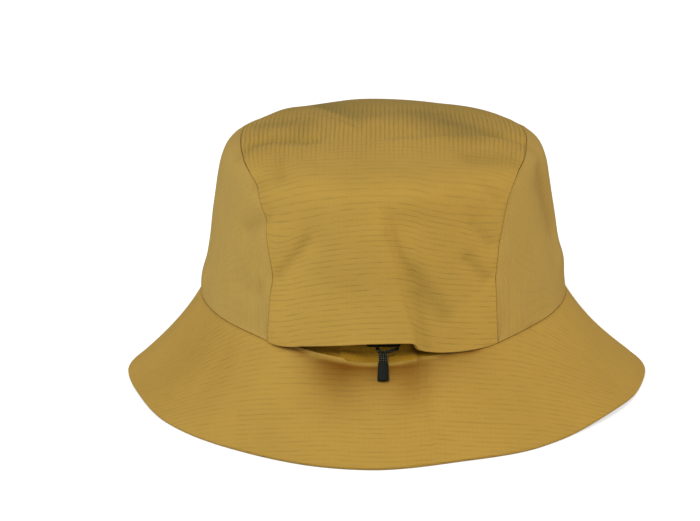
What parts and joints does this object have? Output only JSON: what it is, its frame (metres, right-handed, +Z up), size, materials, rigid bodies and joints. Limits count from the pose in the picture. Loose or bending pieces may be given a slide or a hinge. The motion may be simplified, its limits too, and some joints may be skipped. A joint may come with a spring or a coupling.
{
  "type": "rain bucket hat",
  "caption": "Rain bucket hat with a panelled crown, a sloping brim and a back cord adjuster with a pull tab.",
  "frame": {"origin": "bottom centre of the hat, on the surface that its rim rests on", "axes": "+Z up through the crown, the back of the hat with its cord faces -Y, +X to the right when the back is seen"},
  "size_m": [0.2405, 0.2771, 0.1209],
  "materials": {
    "cloth": "matte mustard ripstop weave",
    "inner_cloth": "matte mustard weave, in shade",
    "lock_plastic": "matte black moulded plastic",
    "cord": "black braid with grey flecks",
    "tab_rubber": "satin dark grey rubber"
  },
  "bodies": {
    "root": {"crown_centre_panel": "cloth", "crown_side_panel_left": "cloth", "crown_side_panel_right": "cloth", "brim": "cloth", "back_inner_panel": "inner_cloth", "cord_lock": "lock_plastic", "pull_cord": "cord", "pull_tab": "tab_rubber"}
  },
  "joints": []
}
